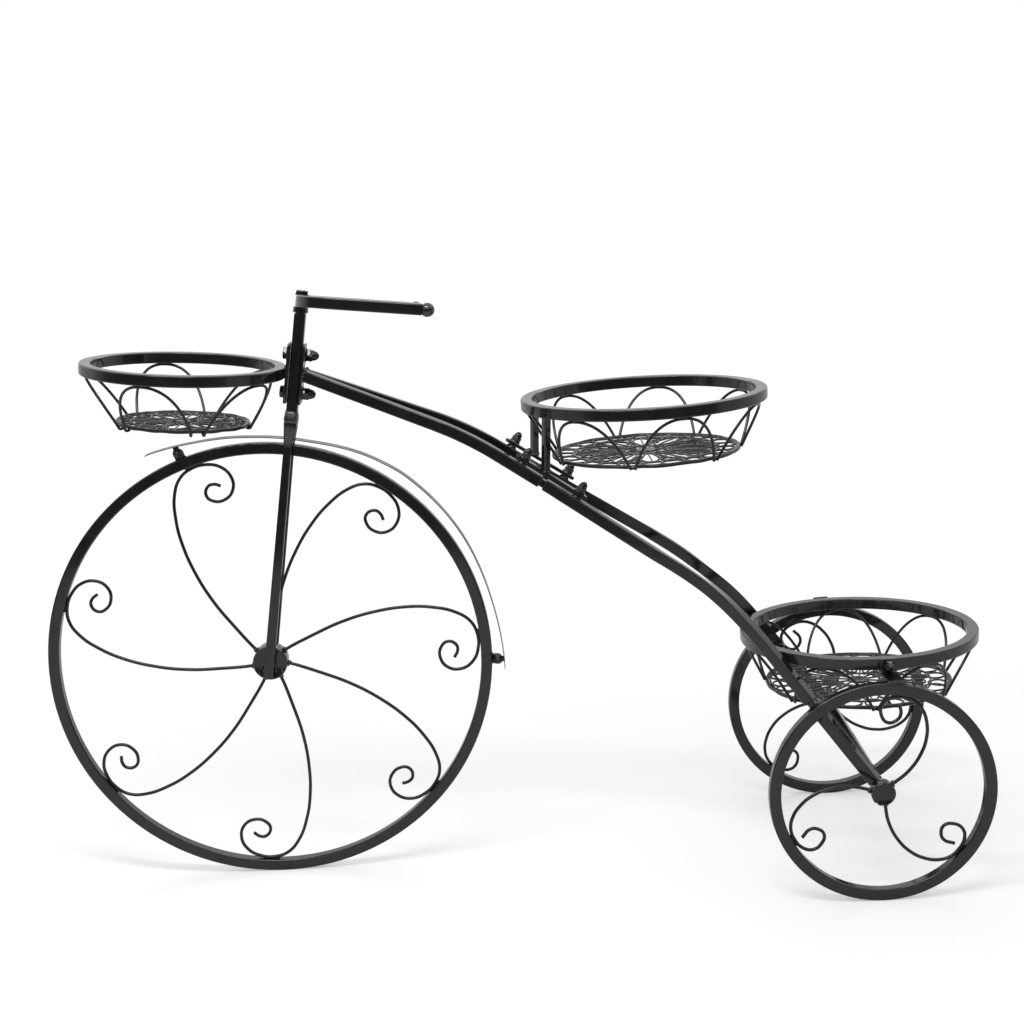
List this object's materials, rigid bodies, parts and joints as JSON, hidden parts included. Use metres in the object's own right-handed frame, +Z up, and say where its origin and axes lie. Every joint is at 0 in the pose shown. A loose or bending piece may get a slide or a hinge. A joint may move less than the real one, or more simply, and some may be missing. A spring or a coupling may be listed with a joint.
{
  "type": "plant stand",
  "caption": "Black wrought-metal plant stand shaped like an old tricycle, with round open baskets for flower pots, scrolled wheels and a swivelling handlebar.",
  "frame": {"origin": "on the ground, under the middle of the stand's overall length and width", "axes": "+X from the front wheel to the rear wheels, +Y from the near (left) rear wheel to the far (right) one, +Z up"},
  "size_m": [0.8374, 0.27, 0.5318],
  "materials": {
    "frame_paint": "gloss black powder coat",
    "wheel_paint": "gloss black powder coat",
    "basket_paint": "gloss black powder coat",
    "floor_paint": "satin black powder coat",
    "handlebar_paint": "gloss black powder coat",
    "fastener_paint": "gloss black powder coat",
    "fender_paint": "gloss black powder coat"
  },
  "bodies": {
    "stand": {"bracket_cap_nut_front_left": "fastener_paint", "bracket_cap_nut_front_right": "fastener_paint", "bracket_cap_nut_rear_left": "fastener_paint", "bracket_cap_nut_rear_right": "fastener_paint", "bracket_strap_left": "frame_paint", "bracket_strap_right": "frame_paint", "clamp_bolt_lower": "fastener_paint", "clamp_bolt_upper": "fastener_paint", "clamp_cap_nut_lower": "fastener_paint", "clamp_cap_nut_upper": "fastener_paint", "fender": "fender_paint", "fender_cap_nut_front": "fastener_paint", "fender_cap_nut_rear": "fastener_paint", "fork_leg_left": "frame_paint", "fork_leg_right": "frame_paint", "front_basket_arches": "basket_paint", "front_basket_floor": "floor_paint", "front_basket_ring": "basket_paint", "front_clamp_plate": "frame_paint", "front_frame_tube_left": "frame_paint", "front_frame_tube_right": "frame_paint", "front_wheel_hub": "wheel_paint", "front_wheel_rim": "wheel_paint", "front_wheel_scroll_1": "wheel_paint", "front_wheel_scroll_2": "wheel_paint", "front_wheel_scroll_3": "wheel_paint", "front_wheel_scroll_4": "wheel_paint", "front_wheel_scroll_5": "wheel_paint", "front_wheel_scroll_6": "wheel_paint", "front_wheel_scroll_7": "wheel_paint", "handlebar_bolt": "fastener_paint", "middle_basket_arches": "basket_paint", "middle_basket_floor": "floor_paint", "middle_basket_ring": "basket_paint", "rear_axle": "frame_paint", "rear_basket_arches": "basket_paint", "rear_basket_floor": "floor_paint", "rear_basket_ring": "basket_paint", "rear_clamp_plate": "frame_paint", "rear_frame_tube_left": "frame_paint", "rear_frame_tube_right": "frame_paint", "rear_stay_left": "frame_paint", "rear_stay_right": "frame_paint", "rear_tie_cap_nut_left": "fastener_paint", "rear_tie_cap_nut_right": "fastener_paint", "rear_tie_plate_left": "basket_paint", "rear_tie_plate_right": "basket_paint", "rear_wheel_hub_left": "wheel_paint", "rear_wheel_hub_right": "wheel_paint", "rear_wheel_rim_left": "wheel_paint", "rear_wheel_rim_right": "wheel_paint", "rear_wheel_scroll_left_1": "wheel_paint", "rear_wheel_scroll_left_2": "wheel_paint", "rear_wheel_scroll_left_3": "wheel_paint", "rear_wheel_scroll_right_1": "wheel_paint", "rear_wheel_scroll_right_2": "wheel_paint", "rear_wheel_scroll_right_3": "wheel_paint", "steerer_collar": "frame_paint", "steerer_tube": "frame_paint"},
    "steering_bar": {"handlebar": "handlebar_paint"}
  },
  "joints": [
    {"name": "handlebar_swivel", "type": "hinge", "parent": "stand", "child": "steering_bar", "pos_m": [-0.16866, 0, 0.52214], "axis": [0.1535, 0, 0.9881], "continuous": true}
  ]
}
